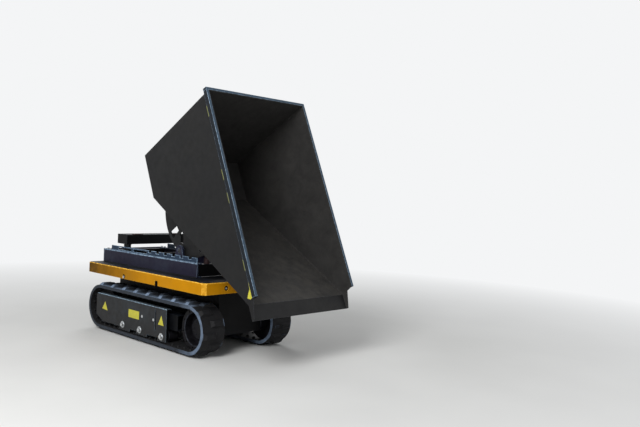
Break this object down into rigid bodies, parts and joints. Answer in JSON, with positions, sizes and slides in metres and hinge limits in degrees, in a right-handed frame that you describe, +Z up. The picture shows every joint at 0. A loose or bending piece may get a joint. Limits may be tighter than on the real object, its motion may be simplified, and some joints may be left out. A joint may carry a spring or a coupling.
{
  "type": "tracked site dumper with tipping skip",
  "caption": "Low rubber-tracked carrier with a flat platform and a deep front-tipping skip on rocker plates, stored with the skip tipped.",
  "frame": {"origin": "on the ground under the middle of the whole machine, with its skip tipped", "axes": "+X the way the skip pours, +Y to the machine's left, +Z up"},
  "size_m": [1.804, 0.78, 1.5606],
  "materials": {
    "yellow_paint": "gloss powder coat",
    "skip_paint": "satin powder coat",
    "frame_paint": "satin powder coat",
    "cover_paint": "satin powder coat",
    "track_rubber": "moulded, dusty",
    "buffer_rubber": "moulded",
    "wheel_iron": "painted, dusty",
    "bare_steel": "turned",
    "battery_case": "plain"
  },
  "bodies": {
    "carrier": {"battery_block": "battery_case", "chassis_box": "frame_paint", "cover_left": "cover_paint", "cover_right": "cover_paint", "cross_front": "frame_paint", "cross_middle_member": "frame_paint", "cross_rear": "frame_paint", "deck_plate": "frame_paint", "drive_motors": "wheel_iron", "drive_wheels": "wheel_iron", "front_buffers": "buffer_rubber", "idlers": "wheel_iron", "pivot_lugs": "frame_paint", "pivot_shaft": "bare_steel", "rail_left": "frame_paint", "rail_right": "frame_paint", "rail_strips": "frame_paint", "rear_plate": "frame_paint", "rest_beam": "frame_paint", "rest_pads": "buffer_rubber", "rest_posts": "frame_paint", "rollers": "wheel_iron", "skirt_front": "yellow_paint", "skirt_left": "yellow_paint", "skirt_rear": "yellow_paint", "skirt_right": "yellow_paint", "track_arms": "frame_paint", "track_beam_left": "frame_paint", "track_beam_right": "frame_paint", "track_left": "track_rubber", "track_right": "track_rubber"},
    "skip": {"hinge_sleeve": "bare_steel", "pouring_lip": "skip_paint", "rim_bar_left": "skip_paint", "rim_bar_rear": "skip_paint", "rim_bar_right": "skip_paint", "rocker_left": "skip_paint", "rocker_right": "skip_paint", "skip_floor": "skip_paint", "skip_rear_wall": "skip_paint", "skip_side_left": "skip_paint", "skip_side_right": "skip_paint", "skip_slope": "skip_paint", "stop_tube": "skip_paint"}
  },
  "joints": [
    {"name": "skip_tip", "type": "hinge", "parent": "carrier", "child": "skip", "pos_m": [-0.01802, 0, 0.5975], "axis": [0, 1, 0], "range_deg": [-66.4, 0]}
  ]
}
